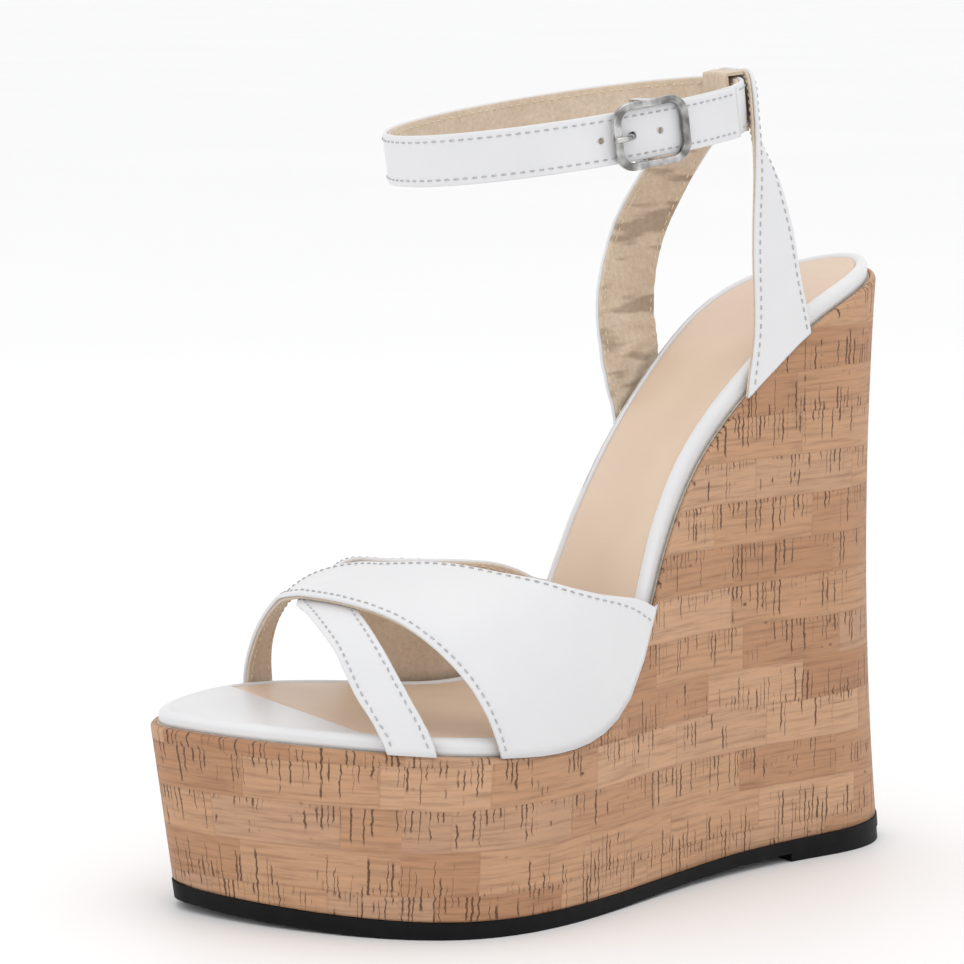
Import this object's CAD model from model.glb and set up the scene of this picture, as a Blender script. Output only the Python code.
import math
import bmesh
import bpy
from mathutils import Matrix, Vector
from mathutils.bvhtree import BVHTree


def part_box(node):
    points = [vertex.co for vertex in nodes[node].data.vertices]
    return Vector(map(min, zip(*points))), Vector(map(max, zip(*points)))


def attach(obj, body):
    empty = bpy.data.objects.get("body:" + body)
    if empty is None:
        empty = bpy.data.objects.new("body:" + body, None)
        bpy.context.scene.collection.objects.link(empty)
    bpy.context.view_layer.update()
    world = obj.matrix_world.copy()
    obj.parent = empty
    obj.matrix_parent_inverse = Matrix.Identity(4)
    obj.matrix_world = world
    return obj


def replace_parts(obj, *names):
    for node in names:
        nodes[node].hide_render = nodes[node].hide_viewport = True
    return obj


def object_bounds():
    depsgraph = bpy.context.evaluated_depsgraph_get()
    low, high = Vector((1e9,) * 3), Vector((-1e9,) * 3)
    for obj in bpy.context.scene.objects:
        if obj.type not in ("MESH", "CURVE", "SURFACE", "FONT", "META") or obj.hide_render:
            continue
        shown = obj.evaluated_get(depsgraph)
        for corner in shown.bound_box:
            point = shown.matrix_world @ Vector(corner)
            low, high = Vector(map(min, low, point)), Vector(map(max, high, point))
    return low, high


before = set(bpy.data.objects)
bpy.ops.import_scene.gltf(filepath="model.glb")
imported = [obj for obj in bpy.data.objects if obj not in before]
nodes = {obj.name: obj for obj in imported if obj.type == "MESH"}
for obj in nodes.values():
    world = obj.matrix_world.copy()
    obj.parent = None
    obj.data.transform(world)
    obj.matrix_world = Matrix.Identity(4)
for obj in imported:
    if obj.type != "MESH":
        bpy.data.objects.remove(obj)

cad_low, cad_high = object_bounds()
mm = 0.001

# ------------------------------------------------------------------ helpers


def through(marks, where):
    """Value at one place on a smooth curve through (place, value) marks."""
    places = [mark[0] for mark in marks]
    values = [mark[1] for mark in marks]
    if where <= places[0]:
        return values[0]
    if where >= places[-1]:
        return values[-1]
    last = len(marks) - 1
    slopes = []
    for i in range(len(marks)):
        low = max(i - 1, 0)
        high = min(i + 1, last)
        slopes.append((values[high] - values[low]) / (places[high] - places[low]))
    i = max(k for k in range(last) if places[k] <= where)
    span = places[i + 1] - places[i]
    t = (where - places[i]) / span
    start = (1 + 2 * t) * (1 - t) ** 2 * values[i] + t * (1 - t) ** 2 * span * slopes[i]
    finish = t * t * (3 - 2 * t) * values[i + 1] + t * t * (t - 1) * span * slopes[i + 1]
    return start + finish


def ease(low, high, value):
    """0 below low, 1 above high, smooth between."""
    t = min(max((value - low) / (high - low), 0), 1)
    return t * t * (3 - 2 * t)


def ripple(a, b, seed=0.0):
    """Soft waving value from -1 to 1 that repeats nowhere obvious."""
    wave = math.sin(a * 1.7 + seed) + math.sin(b * 2.3 - seed * 1.3)
    wave += math.sin((a + b) * 1.1 + 2.1 * seed) + math.sin((a - b) * 2.9 + seed)
    return wave / 4


def tree_of(name):
    """Ray-casting tree of a CAD node."""
    mesh = nodes[name].data
    corners = [v.co.copy() for v in mesh.vertices]
    faces = [tuple(p.vertices) for p in mesh.polygons]
    return BVHTree.FromPolygons(corners, faces)


def new_object(name, verts, faces, material, body, smooth=True):
    """Mesh piece that rides a body and takes a material."""
    mesh = bpy.data.meshes.new(name)
    mesh.from_pydata([tuple(v) for v in verts], [], faces)
    mesh.validate()
    builder = bmesh.new()
    builder.from_mesh(mesh)
    bmesh.ops.remove_doubles(builder, verts=builder.verts, dist=1e-7)
    bmesh.ops.recalc_face_normals(builder, faces=builder.faces)
    builder.to_mesh(mesh)
    builder.free()
    for polygon in mesh.polygons:
        polygon.use_smooth = smooth
    piece = bpy.data.objects.new(name, mesh)
    bpy.context.scene.collection.objects.link(piece)
    piece.data.materials.append(material)
    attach(piece, body)
    return piece


def tube_faces(rows, around, closed_rows=False):
    """Quads of a tube of section rings; the ends are capped unless the rows close up."""
    faces = []
    for i in range(rows if closed_rows else rows - 1):
        for j in range(around):
            a = i * around + j
            b = i * around + (j + 1) % around
            c = ((i + 1) % rows) * around + (j + 1) % around
            d = ((i + 1) % rows) * around + j
            faces.append((a, b, c, d))
    if not closed_rows:
        faces.append(tuple(range(around - 1, -1, -1)))
        faces.append(tuple(range((rows - 1) * around, rows * around)))
    return faces


# ---------------------------------------------------------------- materials


class Nodes:
    """Short way to write a material's node tree."""

    def __init__(self, name):
        self.material = bpy.data.materials.new(name)
        self.material.use_nodes = True
        self.tree = self.material.node_tree
        self.shader = self.tree.nodes["Principled BSDF"]

    def add(self, kind):
        return self.tree.nodes.new(kind)

    def link(self, source, output, target, socket):
        self.tree.links.new(source.outputs[output], target.inputs[socket])

    def place(self, kind="Object", scale=(1, 1, 1)):
        """The piece's own coordinates or its map, stretched."""
        coordinates = self.add("ShaderNodeTexCoord")
        mapping = self.add("ShaderNodeMapping")
        mapping.inputs["Scale"].default_value = scale
        self.link(coordinates, kind, mapping, "Vector")
        return mapping

    def noise(self, place, scale, detail=3.0, roughness=0.5):
        node = self.add("ShaderNodeTexNoise")
        node.inputs["Scale"].default_value = scale
        node.inputs["Detail"].default_value = detail
        node.inputs["Roughness"].default_value = roughness
        self.link(place, "Vector", node, "Vector")
        return node

    def ramp(self, source, output, stops):
        """Colours at (position, colour) stops along a value."""
        node = self.add("ShaderNodeValToRGB")
        elements = node.color_ramp.elements
        while len(elements) < len(stops):
            elements.new(0.5)
        for element, (position, colour) in zip(elements, stops):
            element.position = position
            element.color = (*colour, 1)
        self.link(source, output, node, "Fac")
        return node

    def math(self, operation, a, b=None, clamp=False):
        """Arithmetic on numbers or sockets."""
        node = self.add("ShaderNodeMath")
        node.operation = operation
        node.use_clamp = clamp
        for index, item in enumerate((a, b)):
            if item is None:
                continue
            if isinstance(item, (int, float)):
                node.inputs[index].default_value = item
            else:
                self.tree.links.new(item, node.inputs[index])
        return node.outputs[0]

    def mix(self, factor, first, second, blend="MIX"):
        """Blend of two colours; sockets 0, 6 and 7 are the factor and the two colours."""
        node = self.add("ShaderNodeMix")
        node.data_type = "RGBA"
        node.blend_type = blend
        for socket, item in ((0, factor), (6, first), (7, second)):
            if isinstance(item, (int, float)):
                node.inputs[socket].default_value = item
            elif isinstance(item, tuple):
                node.inputs[socket].default_value = (*item, 1)
            else:
                self.tree.links.new(item, node.inputs[socket])
        return node.outputs[2]

    def bump(self, height, strength, distance):
        node = self.add("ShaderNodeBump")
        node.inputs["Strength"].default_value = strength
        node.inputs["Distance"].default_value = distance
        self.tree.links.new(height, node.inputs["Height"])
        self.tree.links.new(node.outputs["Normal"], self.shader.inputs["Normal"])

    def white_noise(self, dimensions):
        node = self.add("ShaderNodeTexWhiteNoise")
        node.noise_dimensions = dimensions
        return node

    def pair(self, first, second):
        """Vector made of two values."""
        node = self.add("ShaderNodeCombineXYZ")
        self.tree.links.new(first, node.inputs["X"])
        self.tree.links.new(second, node.inputs["Y"])
        return node

    def colour(self, source):
        self.tree.links.new(source, self.shader.inputs["Base Color"])

    def set(self, **values):
        for key, number in values.items():
            self.shader.inputs[key.replace("_", " ")].default_value = number


def smooth_leather(name, light, dark, roughness, grain):
    """Synthetic leather: faint pebble grain, broad tone changes and a soft shine."""
    n = Nodes(name)
    place = n.place()
    broad = n.noise(place, 28, 2)
    tone = n.ramp(broad, "Fac", [(0.35, dark), (0.7, light)])
    n.colour(tone.outputs["Color"])
    pebble = n.add("ShaderNodeTexVoronoi")
    pebble.inputs["Scale"].default_value = 1900
    n.link(place, "Vector", pebble, "Vector")
    fine = n.noise(place, 2600, 2)
    height = n.math("ADD", pebble.outputs["Distance"], fine.outputs["Fac"])
    n.bump(height, grain, 0.00012)
    n.set(Roughness=roughness, IOR=1.46)
    return n.material


def brushed_lining(name, crease=0.0):
    """Beige microfibre lining with a short nap and, where it is bunched up, level creases."""
    n = Nodes(name)
    place = n.place()
    nap = n.noise(place, 900, 4, 0.65)
    patch = n.noise(place, 70, 3)
    tone = n.ramp(patch, "Fac", [(0.3, (0.61, 0.485, 0.365)), (0.72, (0.71, 0.585, 0.455))])
    speck = n.ramp(nap, "Fac", [(0.25, (0.80, 0.80, 0.80)), (0.75, (1.08, 1.08, 1.08))])
    napped = n.mix(1.0, tone.outputs["Color"], speck.outputs["Color"], "MULTIPLY")
    streak = n.noise(n.place("Object", (60, 60, 270)), 1.0, 2, 0.45)
    fold = n.ramp(streak, "Fac", [(0.36, (0.50, 0.46, 0.42)), (0.47, (1, 1, 1))])
    n.colour(n.mix(crease, napped, n.mix(1.0, napped, fold.outputs["Color"], "MULTIPLY")))
    relief = n.math("ADD", nap.outputs["Fac"], n.math("MULTIPLY", fold.outputs["Color"], 4.0 * crease))
    n.bump(relief, 0.35, 0.0002)
    n.set(Roughness=0.82, Sheen_Weight=0.25)
    return n.material


def satin_sock():
    """Beige satin sock: slight sheen, faint length-wise creases."""
    n = Nodes("sock_satin")
    place = n.place()
    patch = n.noise(place, 22, 3)
    tone = n.ramp(patch, "Fac", [(0.3, (0.665, 0.495, 0.365)), (0.7, (0.745, 0.575, 0.435))])
    n.colour(tone.outputs["Color"])
    fine = n.noise(place, 1500, 2)
    n.bump(fine.outputs["Fac"], 0.12, 0.0001)
    n.set(Roughness=0.42, Sheen_Weight=0.1)
    return n.material


def black_rubber():
    n = Nodes("black_rubber")
    place = n.place()
    scuff = n.noise(place, 160, 5, 0.6)
    tone = n.ramp(scuff, "Fac", [(0.35, (0.002, 0.002, 0.003)), (0.75, (0.006, 0.006, 0.007))])
    n.colour(tone.outputs["Color"])
    n.bump(scuff.outputs["Fac"], 0.2, 0.0002)
    n.set(Roughness=0.6, Specular_IOR_Level=0.18)
    return n.material


def plated_metal():
    n = Nodes("plated_metal")
    place = n.place()
    haze = n.noise(place, 190, 2)
    tone = n.ramp(haze, "Fac", [(0.4, (0.20, 0.195, 0.19)), (0.6, (0.62, 0.615, 0.61))])
    n.colour(tone.outputs["Color"])
    n.bump(haze.outputs["Fac"], 0.04, 0.0001)
    n.set(Metallic=1.0, Roughness=0.16)
    return n.material


def thread(name, dark, light):
    n = Nodes(name)
    place = n.place()
    twist = n.noise(place, 2400, 2)
    tone = n.ramp(twist, "Fac", [(0.35, dark), (0.65, light)])
    n.colour(tone.outputs["Color"])
    n.bump(twist.outputs["Fac"], 0.4, 0.0001)
    n.set(Roughness=0.7)
    return n.material


def plain_filler(name, dark, light, scale):
    """Foam or fibre board that is hidden inside the sandal."""
    n = Nodes(name)
    place = n.place()
    cells = n.noise(place, scale, 3)
    tone = n.ramp(cells, "Fac", [(0.3, dark), (0.7, light)])
    n.colour(tone.outputs["Color"])
    n.bump(cells.outputs["Fac"], 0.3, 0.0003)
    n.set(Roughness=0.9)
    return n.material


def cork_sheet():
    """Cork laid in level strips: each block has its own tone, growth lines, cracks and pits.

    The map's U runs round the wedge and V up it, both in metres."""
    n = Nodes("cork_sheet")
    uv = n.place("UV")
    split_uv = n.add("ShaderNodeSeparateXYZ")
    n.link(uv, "Vector", split_uv, "Vector")
    u = split_uv.outputs["X"]
    v = split_uv.outputs["Y"]
    strip_height = 0.0105
    block_length = 0.034
    # the strips' borders wander a little
    wander_place = n.place("UV", (26, 90, 1))
    wander = n.noise(wander_place, 1.0, 2)
    wavy_v = n.math("ADD", v, n.math("MULTIPLY", n.math("SUBTRACT", wander.outputs["Fac"], 0.5), 0.0022))
    strip = n.math("FLOOR", n.math("DIVIDE", wavy_v, strip_height))
    strip_share = n.math("FRACT", n.math("DIVIDE", wavy_v, strip_height))
    shift = n.white_noise("1D")
    n.tree.links.new(strip, shift.inputs["W"])
    slide = n.math("MULTIPLY", shift.outputs["Value"], 3.0)
    along = n.math("ADD", n.math("DIVIDE", u, block_length), slide)
    block = n.math("FLOOR", along)
    block_share = n.math("FRACT", along)
    key = n.pair(block, strip)
    tint = n.white_noise("2D")
    n.link(key, "Vector", tint, "Vector")
    base = n.ramp(
        tint,
        "Value",
        [
            (0.0, (0.400, 0.202, 0.104)),
            (0.3, (0.445, 0.240, 0.130)),
            (0.55, (0.490, 0.278, 0.156)),
            (0.8, (0.535, 0.318, 0.190)),
            (1.0, (0.450, 0.262, 0.160)),
        ],
    )
    # fine growth lines along each block
    grain_place = n.place("UV", (60, 900, 1))
    offset = n.add("ShaderNodeVectorMath")
    offset.operation = "MULTIPLY_ADD"
    n.link(key, "Vector", offset, 0)
    offset.inputs[1].default_value = (3.1, 7.7, 5.3)
    n.link(grain_place, "Vector", offset, 2)
    grain = n.noise(offset, 1.0, 5, 0.62)
    grain_stops = [(0.30, (0.70, 0.66, 0.62)), (0.5, (1, 1, 1)), (0.72, (1.16, 1.13, 1.10))]
    grain_tone = n.ramp(grain, "Fac", grain_stops)
    coloured = n.mix(1.0, base.outputs["Color"], grain_tone.outputs["Color"], "MULTIPLY")
    # short upright cracks: each hangs from a border of its strip, and they come in clusters
    crack_spacing = 0.0015
    wobble = n.noise(n.place("UV", (380, 520, 1)), 1.0, 2)
    swing = n.math("MULTIPLY", n.math("SUBTRACT", wobble.outputs["Fac"], 0.5), 0.0014)
    column_place = n.math("DIVIDE", n.math("ADD", u, swing), crack_spacing)
    column = n.math("FLOOR", column_place)
    column_share = n.math("FRACT", column_place)
    luck = n.white_noise("2D")
    n.link(n.pair(column, strip), "Vector", luck, "Vector")
    parts = n.add("ShaderNodeSeparateColor")
    n.link(luck, "Color", parts, "Color")
    middle = n.math("ADD", 0.3, n.math("MULTIPLY", parts.outputs["Red"], 0.4))
    gap = n.math("ABSOLUTE", n.math("SUBTRACT", column_share, middle))
    half_width = n.math("ADD", 0.05, n.math("MULTIPLY", parts.outputs["Green"], 0.17))
    line = n.math("MULTIPLY", n.math("SUBTRACT", half_width, gap), 14.0, True)
    from_top = n.math("GREATER_THAN", shift.outputs["Value"], 0.45)
    drop = n.math("ABSOLUTE", n.math("SUBTRACT", from_top, strip_share))
    reach = n.math("SUBTRACT", n.math("MULTIPLY", parts.outputs["Blue"], 1.05), 0.1)
    hanging = n.math("MULTIPLY", n.math("SUBTRACT", reach, drop), 9.0, True)
    cluster = n.noise(n.place("UV", (62, 85, 1)), 1.0, 3, 0.6)
    cluster_gate = n.ramp(cluster, "Fac", [(0.41, (0, 0, 0)), (0.48, (1, 1, 1))])
    upright = n.math("MULTIPLY", line, hanging)
    gated = n.math("MULTIPLY", upright, cluster_gate.outputs["Color"])
    # pits and dark specks
    pit_place = n.place("UV", (1, 1.6, 1))
    pit = n.add("ShaderNodeTexVoronoi")
    pit.inputs["Scale"].default_value = 170
    n.link(pit_place, "Vector", pit, "Vector")
    pit_dot = n.ramp(pit, "Distance", [(0.05, (1, 1, 1)), (0.16, (0, 0, 0))])
    pit_gate_noise = n.noise(n.place("UV", (40, 40, 1)), 1.0, 2)
    pit_gate = n.ramp(pit_gate_noise, "Fac", [(0.56, (0, 0, 0)), (0.62, (1, 1, 1))])
    pits = n.math("MULTIPLY", pit_dot.outputs["Color"], pit_gate.outputs["Color"])
    # faint seams between blocks and strips
    seam_v = n.math("MINIMUM", strip_share, n.math("SUBTRACT", 1.0, strip_share))
    seam_u = n.math("MINIMUM", block_share, n.math("SUBTRACT", 1.0, block_share))
    seam_line_v = n.math("SUBTRACT", 1.0, n.math("MULTIPLY", seam_v, 22.0, True), True)
    seam_line_u = n.math("SUBTRACT", 1.0, n.math("MULTIPLY", seam_u, 90.0, True), True)
    seams = n.math("MAXIMUM", seam_line_v, seam_line_u)
    dark_marks = n.math("MAXIMUM", gated, pits)
    darker = n.mix(n.math("MULTIPLY", seams, 0.32), coloured, (0.34, 0.18, 0.095))
    marked = n.mix(n.math("MULTIPLY", dark_marks, 0.92), darker, (0.095, 0.038, 0.016))
    n.colour(marked)
    hollow = n.math("ADD", dark_marks, n.math("MULTIPLY", seams, 0.25))
    relief = n.math("SUBTRACT", n.math("MULTIPLY", grain.outputs["Fac"], 0.5), hollow)
    n.bump(relief, 0.55, 0.0006)
    n.set(Roughness=0.62)
    return n.material


white = smooth_leather("white_leather", (0.765, 0.765, 0.775), (0.72, 0.722, 0.735), 0.36, 0.10)
lining = brushed_lining("beige_lining")
creased_lining = brushed_lining("creased_lining", 0.7)
sock_material = satin_sock()
rubber = black_rubber()
metal = plated_metal()
white_thread = thread("white_thread", (0.36, 0.36, 0.37), (0.56, 0.56, 0.57))
tan_thread = thread("tan_thread", (0.62, 0.50, 0.34), (0.80, 0.68, 0.50))
foam = plain_filler("wedge_foam", (0.52, 0.46, 0.38), (0.66, 0.60, 0.51), 700)
board = plain_filler("fibre_board", (0.36, 0.26, 0.16), (0.50, 0.38, 0.25), 1200)
cork = cork_sheet()

# ------------------------------------------- places measured on the CAD frame

core_tree = tree_of("wedge_core")
wrap_tree = tree_of("cork_wrap")
wrap_low, wrap_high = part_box("cork_wrap")
far = 0.3  # clear of the sandal, where rays start
line_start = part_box("toe_cover")[0].y
line_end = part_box("sock_liner")[1].y
toe_undercut = 12 * mm
heights_found = {}
edges_found = {}


def rough_middle(y):
    """A line down the middle of the footbed, from the toe tip over the ball to the heel."""
    marks = [(-70 * mm, -9 * mm), (-20 * mm, 5.5 * mm), (45 * mm, 11 * mm), (126 * mm, -1 * mm)]
    return through(marks, y)


def straight_to_core(y, start_height, direction):
    """Height where a vertical line down the middle meets the wedge's core."""
    return core_tree.ray_cast(Vector((rough_middle(y), y, start_height)), Vector((0, 0, direction)))[0].z


def along_core(y, start_height, direction, first):
    """The same height, carried on straight before its first place and past the footbed's end."""
    inside = min(max(y, first), line_end)
    key = (round(inside, 5), direction)
    if key not in heights_found:
        heights_found[key] = straight_to_core(inside, start_height, direction)
    height = heights_found[key]
    if inside != y:
        back_step = 3 * mm if y > inside else -3 * mm
        slope = (height - straight_to_core(inside - back_step, start_height, direction)) / back_step
        height += slope * (y - inside)
    return height


def top_line(y):
    """Height of the platform's top face at a place along the foot."""
    return along_core(y, far, -1, line_start)


def foot_line(y):
    """Height of the wedge's underside at a place along the foot."""
    return along_core(y, -far, 1, line_start + toe_undercut)


def platform_floor(y):
    """Just above the cork's top edge."""
    return top_line(min(max(y, wrap_low.y + mm), wrap_high.y - 2 * mm)) + 0.05 * mm


def edge_at(y, side):
    """Outer edge of the cork's top at a place along the foot; side is 1 or -1."""
    key = (round(y, 5), side)
    if key not in edges_found:
        start = Vector((side * far, y, top_line(y) - 0.4 * mm))
        edges_found[key] = wrap_tree.ray_cast(start, Vector((-side, 0, 0)))[0].x
    return edges_found[key]


# ------------------------------------------------------------------ ribbons

upper_low = 0.86 * mm
upper_high = 1.96 * mm
lining_high = 0.80 * mm
section_points = 10
stitch_length = 1.45 * mm
stitch_gap = 0.85 * mm
stitch_size = 0.42 * mm
edge_row = 1.6 * mm  # how far a row of stitches is from the strap's edge
row_samples = 240
row_margin = 0.6 * mm
floor_clearance = 0.8 * mm
# Sections along one stitch, as (share of its length, share of its thickness, rise).
stitch_shape = [
    (-0.5, 0.25, -0.35), (-0.4, 0.8, 0.1), (-0.15, 1, 0.32),
    (0.15, 1, 0.32), (0.4, 0.8, 0.1), (0.5, 0.25, -0.35),
]


def frame_at(surface, u, v):
    """Point and outward normal on a strap surface."""
    step = 0.006
    low_u, high_u = max(u - step, 0), min(u + step, 1)
    low_v, high_v = max(v - step, 0), min(v + step, 1)
    across = surface(u, high_v) - surface(u, low_v)
    along = surface(high_u, v) - surface(low_u, v)
    return surface(u, v), along.cross(across).normalized()


def ribbon_section(low, high, width, inset):
    """Closed section of a strap layer as (share across, height): rounded at both edges."""
    radius = (high - low) / 2
    middle = (high + low) / 2
    points = []
    turns = [-60, -30, 0, 30, 60, 90]
    for turn in turns:
        slide = inset + radius - radius * math.cos(math.radians(turn))
        points.append((slide / width, middle + radius * math.sin(math.radians(turn))))
    for k in range(1, section_points):
        share = k / section_points
        points.append(((inset + radius) / width * (1 - 2 * share) + share, high))
    for turn in reversed(turns):
        slide = inset + radius - radius * math.cos(math.radians(turn))
        points.append((1 - slide / width, middle + radius * math.sin(math.radians(turn))))
    for k in range(section_points + 1):
        share = 1 - k / section_points
        points.append(((inset + radius) / width * (1 - 2 * share) + share, low))
    return points


def ribbon(name, surface, rows, low, high, material, body, inset=0.0, waviness=None, floor=None):
    """Strap layer between two heights over its surface, with rounded edges and shallow waves."""
    verts = []
    count = 0
    for i in range(rows + 1):
        u = i / rows
        width = (surface(u, 1) - surface(u, 0)).length
        section = ribbon_section(low, high, width, inset)
        count = len(section)
        for share, height in section:
            point, outward = frame_at(surface, u, share)
            lift = waviness(u, share) if waviness else 0.0
            place = point + outward * (height + lift)
            if floor is not None:
                place.z = max(place.z, floor(place.y))
            verts.append(place)
    return new_object(name, verts, tube_faces(rows + 1, count), material, body)


def stitches(name, path, material, body):
    """Row of thread stitches; path(s) gives place, direction and normal, or None past its end."""
    verts = []
    faces = []
    around = 6
    place = stitch_gap
    found = path(place + stitch_length / 2)
    while found is not None:
        centre, along, outward = found
        side = outward.cross(along).normalized()
        start = len(verts)
        for share, size, rise in stitch_shape:
            for k in range(around):
                turn = 2 * math.pi * k / around
                spot = centre + along * (share * stitch_length) + outward * (rise * stitch_size)
                spot += side * (math.cos(turn) * size * stitch_size / 2)
                spot += outward * (math.sin(turn) * size * stitch_size / 2)
                verts.append(spot)
        for quad in tube_faces(len(stitch_shape), around):
            faces.append(tuple(start + index for index in quad))
        place += stitch_length + stitch_gap
        found = path(place + stitch_length / 2)
    return new_object(name, verts, faces, material, body)


def row_path(surface, from_front, height, reach, waviness, floor):
    """Stitch path beside a strap's edge, as a function of the length along it.

    It covers a reach of the strap's length, and leaves out any part at or below the floor."""
    begin, end = reach
    samples = []
    for i in range(row_samples + 1):
        u = begin + (end - begin) * i / row_samples
        width = (surface(u, 1) - surface(u, 0)).length
        share = edge_row / width
        share = 1 - share if from_front else share
        point, outward = frame_at(surface, u, share)
        lift = waviness(u, share) if waviness else 0.0
        place = point + outward * (height + lift)
        if floor is None or place.z > floor(place.y) + floor_clearance:
            samples.append((place, outward))
    last = len(samples) - 1
    lengths = [0.0]
    for a, b in zip(samples, samples[1:]):
        lengths.append(lengths[-1] + (b[0] - a[0]).length)

    def path(distance):
        if distance > lengths[-1] - row_margin:
            return None
        i = max(k for k in range(last) if lengths[k] <= distance)
        share = (distance - lengths[i]) / max(lengths[i + 1] - lengths[i], 1e-9)
        place = samples[i][0].lerp(samples[i + 1][0], share)
        along = (samples[i + 1][0] - samples[i][0]).normalized()
        return place, along, samples[i][1]

    return path


def turned_over(path):
    """The same stitch path, for the other face of the strap."""

    def turned(distance):
        found = path(distance)
        if found is None:
            return None
        place, along, outward = found
        return place, along, -outward

    return turned


def stitch_rows(label, surface, body, sides, white_reach=(0, 1), tan_reach=(0, 1), waviness=None, floor=None):
    """White stitches outside and tan ones inside, along both edges; sides says (name, is it the front)."""
    for side_name, from_front in sides:
        path = row_path(surface, from_front, upper_high, white_reach, waviness, floor)
        stitches(f"{label}.stitch_{side_name}", path, white_thread, body)
        path = row_path(surface, from_front, 0, tan_reach, waviness, floor)
        stitches(f"{label}.lining_stitch_{side_name}", turned_over(path), tan_thread, body)


def shoe_strap(label, white_node, surface, rows, inset, lining_material, waviness=None):
    """White layer, lining and stitches of a strap that is fixed to the shoe at both ends."""
    upper = ribbon(
        f"{label}.upper", surface, rows, upper_low, upper_high, white, "shoe",
        waviness=waviness, floor=platform_floor,
    )
    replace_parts(upper, white_node)
    inside = ribbon(
        f"{label}.lining", surface, rows, 0, lining_high, lining_material, "shoe", inset,
        waviness=waviness, floor=platform_floor,
    )
    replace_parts(inside, f"{label}_lining")
    sides = (("rear", False), ("front", True))
    stitch_rows(label, surface, "shoe", sides, waviness=waviness, floor=platform_floor)


# --------------------------------------------------------------- vamp straps

strap_seat = 1.2 * mm  # how far inside the cork's edge the straps come down
crossing_lift = 2.31
# Height of the foot form over the footbed, as (place along the foot, height) in millimetres.
arch_marks = [(-48, 23), (-36, 29.2), (-24, 33.2), (-12, 38.5), (0, 41.3), (14, 46.2), (28, 51.5), (40, 56)]
outer_fullness = 2.3
inner_fullness_marks = [(-44, 1.6), (-32, 1.6), (-20, 2.7), (-8, 3.4), (10, 3.3), (35, 2.5)]
# Edges and lifts of the straps, as (angle round the foot, millimetres along it or off it).
wide_front = [
    (0, -13.3), (25, -19.5), (50, -26.8), (75, -35.5), (100, -39.3), (125, -36), (150, -33.8), (180, -32),
]
wide_rear = [(0, 39.9), (25, 29.3), (50, 10.5), (75, -10.1), (100, -21.4), (125, -26), (150, -26), (180, -24)]
cross_front = [
    (0, -36.7), (25, -41.1), (50, -41.5), (75, -40.5), (100, -36.5), (125, -26.6), (150, -16.3), (180, -5.2),
]
cross_rear = [
    (0, -27.3), (25, -32), (50, -33.2), (75, -31.6), (100, -26.5), (125, -7), (150, 23.3), (180, 39.8),
]
wide_lift = [
    (0, 0), (30, 0.3), (62, crossing_lift), (95, crossing_lift + 0.1), (128, crossing_lift),
    (155, 0.8), (180, 0.2),
]
flat_lift = [(0, 0), (180, 0)]


def foot_point(angle, y, lift):
    """Point on the foot form that the vamp straps lie on; angle 0 is the outer side, 90 the top."""
    outer_x = edge_at(y, 1) - strap_seat
    inner_x = edge_at(y, -1) + strap_seat
    middle = (outer_x + inner_x) / 2
    half = (outer_x - inner_x) / 2 + lift
    height = through(arch_marks, y / mm) * mm + lift
    swing = math.cos(math.radians(angle))
    fullness = outer_fullness if swing > 0 else through(inner_fullness_marks, y / mm)
    bend = 2 / fullness
    rise = max(math.sin(math.radians(angle)), 0)
    x = middle + half * abs(swing) ** bend * (1 if swing > 0 else -1)
    return Vector((x, y, top_line(y) + height * rise ** bend))


def vamp_surface(front_marks, rear_marks, lift_marks):
    """Strap surface: u runs from the outer to the inner side, v from rear to front."""

    def surface(u, v):
        angle = min(max(u, 0), 1) * 180
        front = through(front_marks, angle) * mm
        rear = through(rear_marks, angle) * mm
        return foot_point(angle, rear + (front - rear) * v, through(lift_marks, angle) * mm)

    return surface


wide_surface = vamp_surface(wide_front, wide_rear, wide_lift)
cross_surface = vamp_surface(cross_front, cross_rear, flat_lift)

shoe_strap("wide_strap", "wide_strap_outer", wide_surface, 72, 0.35 * mm, lining)
shoe_strap("cross_strap", "cross_strap_outer", cross_surface, 64, 0.35 * mm, lining)

# ------------------------------------------------------ ankle strap and sling

# The ring is an oval that tilts up towards the heel; angles run round it from the outer side.
ankle_tilt = math.radians(7.5)
half_width = 31.0 * mm
half_length = 48.75 * mm
ring_centre = Vector((-1.5 * mm, 37.0 * mm, 192.4 * mm))
ring_side = Vector((1, 0, 0))
ring_along = Vector((0, math.cos(ankle_tilt), math.sin(ankle_tilt)))
ring_up = ring_side.cross(ring_along)
ankle_width = 12.5 * mm
strap_thickness = 1.96 * mm
strap_overlap = 2.3 * mm
bar_angle = 5.0
lap_angle = 44.0
lap_blend = 6.0
strap_end = 360 + lap_angle
tunnel_gap = 1.2 * mm
tunnel_headroom = 0.5 * mm
tunnel_wall = 0.8 * mm


def ring_world(angle, offset, below_top):
    """Point of the ankle ring, an offset outside its outer face and a distance below its top edge."""
    turn = math.radians(angle)
    outward = Vector((half_length * math.cos(turn), half_width * math.sin(turn))).normalized() * offset
    across = half_width * math.cos(turn) + outward.x
    ahead = half_length * math.sin(turn) + outward.y
    return ring_centre + ring_side * across + ring_along * ahead - ring_up * below_top


def lap_offset(angle):
    """How far the strap's outer face stands off the ring at an angle of its winding."""
    reach = lap_angle - bar_angle + lap_blend
    first_turn = min(max((angle - bar_angle) / reach, 0), 1)
    second_turn = min(max((angle - 360 - bar_angle) / reach, 0), 1)
    return strap_overlap * (first_turn - 1 + second_turn)


def winding_surface(start, finish):
    """Inner face of the ankle strap; u runs along the strap, v from its top to its bottom edge."""

    def surface(u, v):
        angle = start + (finish - start) * u
        return ring_world(angle, lap_offset(angle) - strap_thickness, ankle_width * (1 - v))

    return surface


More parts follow.
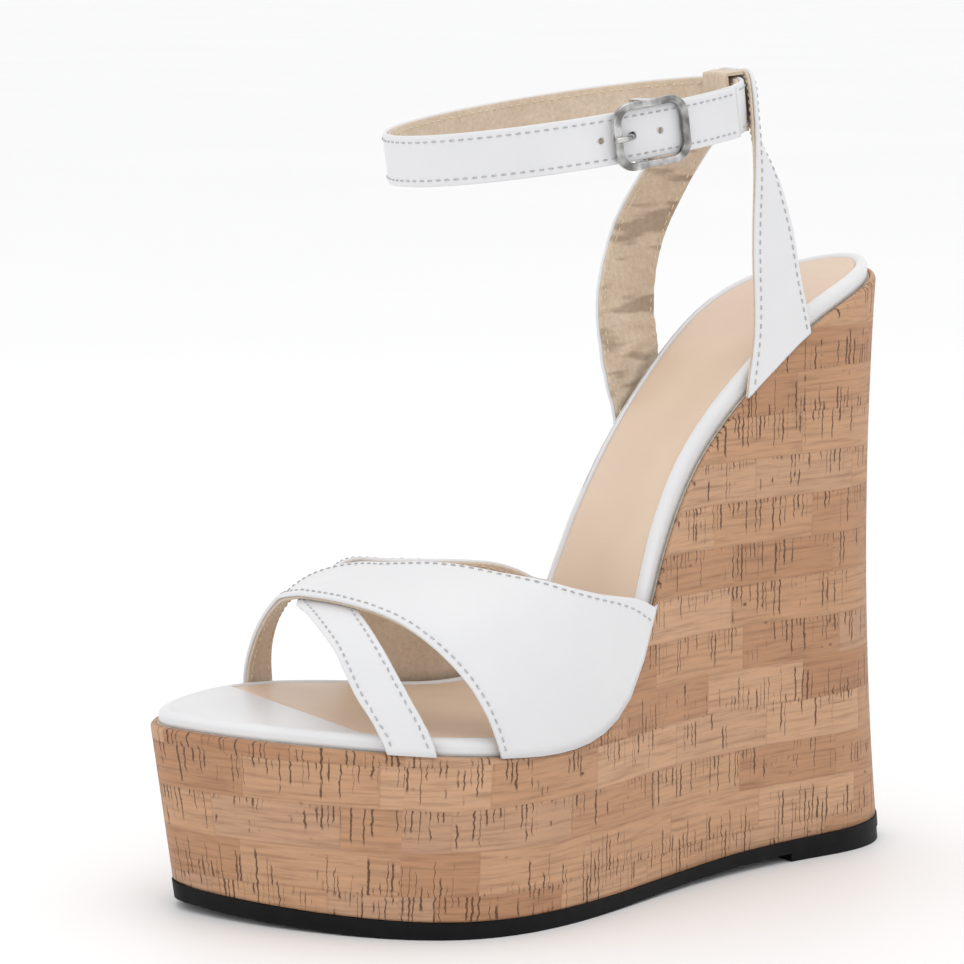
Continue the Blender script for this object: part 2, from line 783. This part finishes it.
def on_edge(y, side, rise):
    """Place for a sling end: inside the cork's edge, a rise above the top line."""
    return Vector((edge_at(y * mm, side) - side * strap_seat, y * mm, top_line(y * mm) + rise * mm))


def at(x, y, z):
    return Vector((x, y, z)) * mm


# Edges of the sling, from the outer side of the footbed over the ankle's back to the inner side.
tunnel_top = -tunnel_headroom - tunnel_wall
tunnel_bottom = ankle_width + tunnel_headroom + tunnel_wall
shoulder_drop = 0.6 * mm
sling_front = [
    on_edge(73, 1, -9),
    on_edge(73.3, 1, 1),
    at(25, 75, 137),
    at(23.3, 75.6, 157),
    at(19.3, 78.4, 174),
    ring_world(60, tunnel_gap, 9 * mm),
    ring_world(76, tunnel_gap, tunnel_top + shoulder_drop),
    ring_world(90, tunnel_gap, tunnel_top),
    ring_world(104, tunnel_gap, tunnel_top + shoulder_drop),
    ring_world(120, tunnel_gap, 9 * mm),
    at(-21.5, 74.5, 177),
    at(-24.2, 67.5, 164),
    at(-25, 63.9, 154),
    at(-23.3, 60.3, 141.5),
    at(-18, 58.8, 126),
    on_edge(60.5, -1, 3),
    on_edge(61, -1, -6),
]
sling_rear = [
    on_edge(94.3, 1, -9),
    on_edge(93.5, 1, 1),
    at(22.6, 90, 149),
    at(21, 88.3, 162),
    at(17, 87, 172),
    at(10, 85.5, 180),
    ring_world(80, tunnel_gap, tunnel_bottom),
    ring_world(90, tunnel_gap, tunnel_bottom),
    ring_world(100, tunnel_gap, tunnel_bottom),
    at(-12.5, 86, 179.5),
    at(-20, 85, 169.5),
    at(-24.8, 82, 158.5),
    at(-25.5, 79.5, 149),
    at(-24.5, 78, 139),
    at(-22, 77.5, 131),
    on_edge(77.3, -1, 1),
    on_edge(77.3, -1, -8),
]


def path_point(marks, place):
    """Smooth path through evenly numbered marks."""
    return Vector([through([(i, mark[axis]) for i, mark in enumerate(marks)], place) for axis in range(3)])


def sling_surface(start, finish):
    """Part of the sling between two numbered marks; v runs from rear to front."""

    def surface(u, v):
        place = start + (finish - start) * min(max(u, 0), 1)
        rear = path_point(sling_rear, place)
        front = path_point(sling_front, place)
        return rear + (front - rear) * v

    return surface


back_mark = 7
seam_gap = 0.04
outer_leg = sling_surface(0.6, back_mark - seam_gap)
inner_leg = sling_surface(back_mark + seam_gap, 15.6)


def inner_waves(u, v):
    """Creases across the inner leg, strongest low down where it is pulled."""
    depth = 0.75 * mm * ease(0.3, 0.75, u) * (0.25 + 0.75 * math.sin(math.pi * min(max(v, 0), 1)))
    bend = 1.4 * math.sin(3.1 * v + 9 * u) + 0.9 * math.sin(23 * u)
    fold = abs(math.sin(46 * u + bend)) + 0.6 * abs(math.sin(71 * u - 1.7 * bend + 2 * v))
    return depth * (fold - 0.8)


def outer_waves(u, v):
    return 0.08 * mm * ripple(u * 14, v * 3, 0.4)


shoe_strap("outer_quarter", "outer_quarter_upper", outer_leg, 60, 0.3 * mm, lining, outer_waves)
shoe_strap("inner_quarter", "inner_quarter_upper", inner_leg, 90, 0.3 * mm, creased_lining, inner_waves)

strap_surface = winding_surface(bar_angle + 1.5, strap_end)
ankle_upper = ribbon(
    "ankle_strap.upper", strap_surface, 260, upper_low, upper_high, white, "ankle_strap"
)
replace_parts(ankle_upper, "ankle_strap_outer")
lining_surface = winding_surface(bar_angle + 4.0, strap_end)
ankle_inside = ribbon(
    "ankle_strap.lining", lining_surface, 240, 0, lining_high, lining, "ankle_strap", 0.3 * mm
)
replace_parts(ankle_inside, "ankle_strap_lining")
past_buckle = (0.115, 0.995)
before_overlap = (0.02, 0.88)
ring_edges = (("top", True), ("bottom", False))
stitch_rows("ankle_strap", strap_surface, "ankle_strap", ring_edges, past_buckle, before_overlap)


punch_depth = 4.4 * mm


def punch(piece, centre, axis, radius):
    """Cut a round hole through a piece."""
    cutter_mesh = bpy.data.meshes.new("cutter")
    builder = bmesh.new()
    turn = axis.to_track_quat("Z", "Y").to_matrix().to_4x4()
    turn.translation = centre
    bmesh.ops.create_cone(
        builder, cap_ends=True, segments=24, radius1=radius, radius2=radius, depth=punch_depth, matrix=turn
    )
    builder.to_mesh(cutter_mesh)
    builder.free()
    cutter = bpy.data.objects.new("cutter", cutter_mesh)
    bpy.context.scene.collection.objects.link(cutter)
    modifier = piece.modifiers.new("hole", "BOOLEAN")
    modifier.operation = "DIFFERENCE"
    modifier.solver = "EXACT"
    modifier.object = cutter
    bpy.context.view_layer.update()
    evaluated = piece.evaluated_get(bpy.context.evaluated_depsgraph_get())
    holed = bpy.data.meshes.new_from_object(evaluated)
    piece.modifiers.remove(modifier)
    old = piece.data
    piece.data = holed
    bpy.data.meshes.remove(old)
    bpy.data.objects.remove(cutter)
    bpy.data.meshes.remove(cutter_mesh)


# The strap's holes as (angle, radius): a wider one under the prong, and one either side of it.
hole_radius = 0.8 * mm
hole_list = [(349.4, hole_radius), (359.5, 1.25 * hole_radius), (369.1, hole_radius)]


def hole_place(angle):
    """Middle of the strap's outer layer at an angle, with the direction outwards."""
    level = ankle_width / 2
    place = ring_world(angle, lap_offset(angle) - upper_low, level)
    ahead = ring_world(angle + 0.5, lap_offset(angle + 0.5) - upper_low, level)
    return place, (ahead - place).cross(ring_up).normalized()


for hole_angle, radius in hole_list:
    hole_centre, hole_axis = hole_place(hole_angle)
    punch(ankle_upper, hole_centre, hole_axis, radius)

# ------------------------------------------------- outline round the platform

toe_centre_y = -34 * mm
heel_centre_y = 92 * mm
side_steps = 105
cap_steps = 80


def outline_stations():
    """Places on the middle line with the direction outwards from each, once round the sandal."""
    found = []
    length = heel_centre_y - toe_centre_y
    for i in range(side_steps):
        y = toe_centre_y + length * i / side_steps
        found.append((Vector((rough_middle(y), y, 0)), Vector((1, 0, 0))))
    for i in range(cap_steps):
        turn = math.pi * i / cap_steps
        middle = Vector((rough_middle(heel_centre_y), heel_centre_y, 0))
        found.append((middle, Vector((math.cos(turn), math.sin(turn), 0))))
    for i in range(side_steps):
        y = heel_centre_y - length * i / side_steps
        found.append((Vector((rough_middle(y), y, 0)), Vector((-1, 0, 0))))
    for i in range(cap_steps):
        turn = math.pi + math.pi * i / cap_steps
        middle = Vector((rough_middle(toe_centre_y), toe_centre_y, 0))
        found.append((middle, Vector((math.cos(turn), math.sin(turn), 0))))
    return found


def inward_hit(tree, station, height):
    """Where a level ray from outside meets a piece at a station."""
    middle, outward = station
    start = middle + outward * far
    start.z = height
    return tree.ray_cast(start, -outward)[0]


def outward_hit(tree, station, height):
    """Where a level ray from the middle line meets a piece at a station."""
    middle, outward = station
    start = Vector((middle.x, middle.y, height))
    return tree.ray_cast(start, outward)[0]


stations = outline_stations()

# ---------------------------------------------------------------- cork sheet

cork_rounding = 1.1 * mm
cork_depth = 1.5 * mm
wall_rows = 44
round_steps = 5
inner_rows = 10
low_wall = 22 * mm  # a height that every station's wall reaches


def cork_column(station):
    """Closed section of the cork sheet at a station: up its outside, over the top, down its inside."""
    base = inward_hit(wrap_tree, station, low_wall)
    y = min(max(base.y, line_start), line_end)
    for _ in range(8):
        rim = inward_hit(wrap_tree, station, top_line(y) - 0.3 * mm)
        if rim is not None:
            y += (rim.y - y) * 0.6
    low = foot_line(base.y) + 0.02 * mm
    high = top_line(y)
    outward = station[1]
    outside = []
    for j in range(wall_rows + 1):
        height = low + (high - cork_rounding - low) * j / wall_rows
        outside.append(inward_hit(wrap_tree, station, max(height, low + 0.2 * mm)))
        outside[-1].z = height
    section = list(outside)
    last = outside[-1]
    for k in range(1, round_steps + 1):
        turn = math.pi / 2 * k / round_steps
        inset = cork_rounding * (1 - math.cos(turn))
        section.append(last - outward * inset + Vector((0, 0, cork_rounding * math.sin(turn))))
    for j in range(inner_rows + 1):
        share = 1 - j / inner_rows
        wall = outside[round(share * wall_rows)]
        place = wall - outward * cork_depth
        if j == 0:
            place.z = high
        section.append(place)
    return section


def cork_piece(name):
    """The cork sheet, with a map whose U runs round the sandal and V up it."""
    columns = [cork_column(station) for station in stations]
    around = len(columns[0])
    verts = [place for column in columns for place in column]
    faces = tube_faces(len(columns), around, closed_rows=True)
    mesh = bpy.data.meshes.new(name)
    mesh.from_pydata([tuple(v) for v in verts], [], faces)
    along = [0.0]
    for i in range(len(columns)):
        here = columns[i][wall_rows // 3]
        there = columns[(i + 1) % len(columns)][wall_rows // 3]
        along.append(along[-1] + math.hypot(there.x - here.x, there.y - here.y))
    layer = mesh.uv_layers.new(name="round_and_up")
    for polygon in mesh.polygons:
        first = polygon.index // around
        for loop in polygon.loop_indices:
            column, row = divmod(mesh.loops[loop].vertex_index, around)
            place = columns[column][row]
            u = along[first] if column == first else along[first + 1]
            v = place.z
            if row > wall_rows:
                v += (columns[column][wall_rows] - place).to_2d().length
            layer.data[loop].uv = (u, v)
        polygon.use_smooth = True
    builder = bmesh.new()
    builder.from_mesh(mesh)
    bmesh.ops.recalc_face_normals(builder, faces=builder.faces)
    builder.to_mesh(mesh)
    builder.free()
    piece = bpy.data.objects.new(name, mesh)
    bpy.context.scene.collection.objects.link(piece)
    mesh.materials.append(cork)
    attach(piece, "shoe")
    return piece


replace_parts(cork_piece("cork_sheet"), "cork_wrap")

# -------------------------------------------------------------------- footbed

# Heights square to the platform's top face, in millimetres.
footbed_high = 4.5
sock_top = 4.2
sock_low = 3.48
cushion_low = 2.3
cushion_high = 3.36
toe_thinning = [(-70.5, 0.72), (0, 1)]


def bed_point(x, y, height):
    """Point a height in millimetres above the platform's top face, square to it."""
    slope = (top_line(y + mm) - top_line(y - mm)) / (2 * mm)
    rise = height * mm * through(toe_thinning, y / mm) * math.sqrt(1 + slope * slope)
    return Vector((x, y, top_line(y) + rise))


edge_tree = tree_of("footbed_edge")
outer_roll = 2.1
inner_roll = 1.0
edge_height = 2.0
toe_joint = (-41 * mm, -39 * mm)  # where the sock gives way to the white toe cover


def rim_section(station):
    """Closed section of the footbed's white edge at a station."""
    middle, outward = station
    outer = inward_hit(wrap_tree, station, top_line(middle.y) - 0.5 * mm)
    for _ in range(6):
        outer = inward_hit(edge_tree, station, bed_point(0, outer.y, edge_height).z) or outer
    inner = outer
    for _ in range(6):
        inner = outward_hit(edge_tree, station, bed_point(0, inner.y, sock_top - 0.3).z) or inner
    width = (inner - outer).to_2d().length / mm
    toe_share = 1 - ease(*toe_joint, inner.y)
    roll_in = inner_roll * (1 - 0.85 * toe_share)
    marks = [(0, 0.12), (0, 1.2)]
    for k in range(7):
        turn = math.pi / 2 * k / 6
        inset = outer_roll * (1 - math.cos(turn))
        marks.append((inset, footbed_high - outer_roll + outer_roll * math.sin(turn)))
    for k in range(6):
        turn = math.pi / 2 * k / 5
        inset = width - roll_in + roll_in * math.sin(turn)
        marks.append((inset, footbed_high - roll_in + roll_in * math.cos(turn)))
    marks.append((width, footbed_high - 1.8))
    marks.append((width / 2, 0.5))
    section = []
    for inset, height in marks:
        place = outer.lerp(inner, min(inset / width, 1))
        section.append(bed_point(place.x, place.y, height))
    return section


def rim_piece(name):
    """The footbed's white rounded edge, all round."""
    columns = [rim_section(station) for station in stations]
    verts = [place for column in columns for place in column]
    faces = tube_faces(len(columns), len(columns[0]), closed_rows=True)
    return new_object(name, verts, faces, white, "shoe")


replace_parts(rim_piece("footbed_rim"), "footbed_edge")


def bed_sheet(name, node, low, high, edge_drop, material, wave=0.0):
    """Thin layer lying on the footbed, as wide as its CAD node, with soft edges and shallow waves."""
    tree = tree_of(node)
    box_low, box_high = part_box(node)
    rows = 120
    columns = 30
    verts = []
    middle_height = (low + high) / 2
    for i in range(rows + 1):
        share = 0.5 - 0.5 * math.cos(math.pi * i / rows)
        y = box_low.y + 0.05 * mm + (box_high.y - box_low.y - 0.1 * mm) * share
        height = bed_point(0, y, middle_height).z
        right = tree.ray_cast(Vector((far, y, height)), Vector((-1, 0, 0)))[0]
        left = tree.ray_cast(Vector((-far, y, height)), Vector((1, 0, 0)))[0]
        if right is None or left is None:
            continue
        top = []
        bottom = []
        for j in range(columns + 1):
            across = 0.5 - 0.5 * math.cos(math.pi * j / columns)
            x = left.x + (right.x - left.x) * across
            from_edge = min(x - left.x, right.x - x, y - box_low.y, box_high.y - y)
            fall = edge_drop * (1 - ease(0, 1.6 * mm, from_edge))
            lift = wave * ripple(x / mm / 7, y / mm / 11, 0.6) * ease(0, 6 * mm, from_edge)
            top.append(bed_point(x, y, high - fall + lift))
            bottom.append(bed_point(x, y, low))
        verts.extend(top + bottom[::-1])
    around = 2 * (columns + 1)
    return new_object(name, verts, tube_faces(len(verts) // around, around), material, "shoe")


sock = bed_sheet("sock_layer", "sock_liner", sock_low, sock_top, 0.3, sock_material, 0.1)
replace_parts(sock, "sock_liner")
toe = bed_sheet("toe_layer", "toe_cover", sock_low, footbed_high, 0.03, white, 0.06)
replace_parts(toe, "toe_cover")
cushion = bed_sheet("cushion_layer", "footbed_cushion", cushion_low, cushion_high, 0.3, foam)
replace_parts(cushion, "footbed_cushion")

# ----------------------------------------------------------------- tunnel

tunnel_half_angle = 12.0
mouth_setback = 0.35 * mm
corner_steps = 4


def tunnel_section(angle):
    """Closed C section of the tunnel at an angle of the ring: open towards the sling."""
    mouth = tunnel_gap - mouth_setback
    back_in = -strap_thickness - tunnel_gap
    back_out = back_in - tunnel_wall
    top_in = -tunnel_headroom
    bottom_in = ankle_width + tunnel_headroom
    marks = [(mouth, tunnel_top)]
    for k in range(corner_steps + 1):
        turn = math.pi / 2 * k / corner_steps
        depth = back_out + tunnel_wall * (1 - math.sin(turn))
        marks.append((depth, tunnel_top + tunnel_wall * (1 - math.cos(turn))))
    for k in range(corner_steps + 1):
        turn = math.pi / 2 * k / corner_steps
        depth = back_out + tunnel_wall * (1 - math.cos(turn))
        marks.append((depth, tunnel_bottom - tunnel_wall * (1 - math.sin(turn))))
    marks += [(mouth, tunnel_bottom), (mouth, bottom_in)]
    marks += [(back_in, bottom_in), (back_in, top_in), (mouth, top_in)]
    return [ring_world(angle, offset, below) for offset, below in marks]


tunnel_rows = 14
tunnel_verts = []
for i in range(tunnel_rows + 1):
    tunnel_angle = 90 - tunnel_half_angle + 2 * tunnel_half_angle * i / tunnel_rows
    tunnel_verts.extend(tunnel_section(tunnel_angle))
tunnel_faces = tube_faces(tunnel_rows + 1, len(tunnel_verts) // (tunnel_rows + 1))
tunnel = new_object("ankle_strap_tunnel", tunnel_verts, tunnel_faces, lining, "shoe", smooth=False)
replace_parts(tunnel, "ankle_tunnel")

# ------------------------------------------------ materials of the CAD pieces


def dress(name, material):
    """Give a CAD piece its material."""
    piece = nodes[name]
    piece.data.materials.clear()
    piece.data.materials.append(material)


dress("outsole", rubber)
dress("heel_top_lift", rubber)
dress("wedge_core", foam)
dress("insole_board", board)
dress("buckle_frame", metal)
dress("buckle_prong", metal)

# ------------------------------------------------------- stage, light, camera

floor_mesh = bpy.data.meshes.new("floor")
floor_reach = 40
floor_corners = [(a * floor_reach, b * floor_reach, 0) for a, b in ((-1, -1), (1, -1), (1, 1), (-1, 1))]
floor_mesh.from_pydata(floor_corners, [], [(0, 1, 2, 3)])
floor = bpy.data.objects.new("floor", floor_mesh)
bpy.context.scene.collection.objects.link(floor)
floor_nodes = Nodes("pale_floor")
floor_noise = floor_nodes.noise(floor_nodes.place(), 3, 2)
floor_tone = floor_nodes.ramp(floor_noise, "Fac", [(0.3, (0.945, 0.945, 0.95)), (0.7, (0.96, 0.96, 0.965))])
floor_nodes.colour(floor_tone.outputs["Color"])
floor_nodes.set(Roughness=0.6)
floor.data.materials.append(floor_nodes.material)

world = bpy.data.worlds.new("studio")
bpy.context.scene.world = world
world.use_nodes = True
world.node_tree.nodes["Background"].inputs["Color"].default_value = (1, 1, 1, 1)
world.node_tree.nodes["Background"].inputs["Strength"].default_value = 1.0


def soft_light(name, place, target, size, power):
    """Square studio light aimed at a target."""
    data = bpy.data.lights.new(name, "AREA")
    data.size = size
    data.energy = power
    lamp = bpy.data.objects.new(name, data)
    lamp.location = place
    lamp.rotation_euler = (Vector(target) - Vector(place)).to_track_quat("-Z", "Y").to_euler()
    bpy.context.scene.collection.objects.link(lamp)
    return lamp


centre = (cad_low + cad_high) / 2
soft_light("overhead", (0.15, 0.1, 1.5), centre, 1.2, 3.2)
soft_light("side", (0.9, -1.1, 0.7), centre, 0.8, 1.2)

view_azimuth = math.radians(59.9)
view_elevation = math.radians(7.75)
view_distance = 1.0164
target = Vector((0, 20, 100)) * mm
back = Vector((
    math.sin(view_azimuth) * math.cos(view_elevation),
    -math.cos(view_azimuth) * math.cos(view_elevation),
    math.sin(view_elevation),
))
camera_data = bpy.data.cameras.new("camera")
camera = bpy.data.objects.new("camera", camera_data)
camera.location = target + back * view_distance
camera.rotation_euler = (-back).to_track_quat("-Z", "Y").to_euler()
camera_data.sensor_width = 36
camera_data.lens = 153.81
camera_data.shift_x = -0.02733
camera_data.shift_y = 0.0001
camera_data.clip_start = 0.05
bpy.context.scene.collection.objects.link(camera)
bpy.context.scene.camera = camera
bpy.context.scene.view_settings.view_transform = "Standard"
